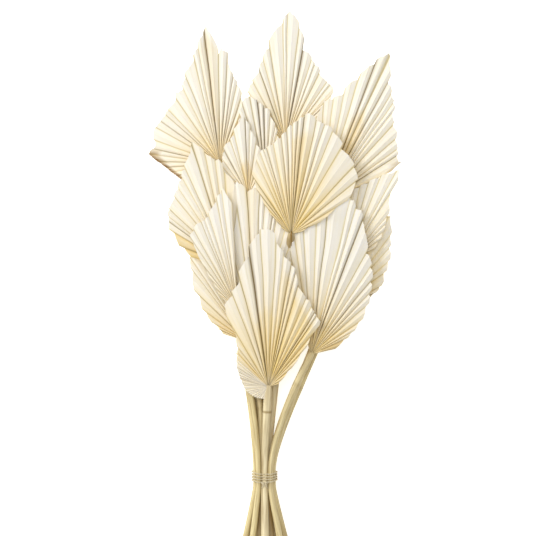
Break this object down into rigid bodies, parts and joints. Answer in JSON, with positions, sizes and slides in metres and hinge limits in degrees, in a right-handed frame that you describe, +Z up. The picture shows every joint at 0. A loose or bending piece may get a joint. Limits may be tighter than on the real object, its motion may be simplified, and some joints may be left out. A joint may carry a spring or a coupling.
{
  "type": "dried palm spear bunch",
  "caption": "Tied bunch of dried, bleached fan palm leaves on cut stalks, each a pleated fan trimmed to a pointed spear, for a vase, wreath or wall display.",
  "frame": {"origin": "middle of the bunch's underside, on the surface it lies on", "axes": "+Y along the bunch from the cut stalk ends to the leaf tips, +X to the right seen from above, +Z up"},
  "size_m": [0.2634, 0.5932, 0.0435],
  "materials": {
    "bleached_palm": "dry, matt, bleached",
    "twine": "matt, fibrous"
  },
  "bodies": {
    "root": {"palm_front_low": "bleached_palm", "palm_front_right": "bleached_palm", "palm_front_centre": "bleached_palm", "palm_top_left": "bleached_palm", "palm_top_centre": "bleached_palm", "palm_top_right": "bleached_palm", "palm_left_upper": "bleached_palm", "palm_left_front": "bleached_palm", "palm_left_low": "bleached_palm", "palm_centre_upper": "bleached_palm", "palm_centre_back": "bleached_palm", "palm_centre_low": "bleached_palm", "palm_right_upper": "bleached_palm", "palm_right_low": "bleached_palm", "twine_tie": "twine"}
  },
  "joints": []
}
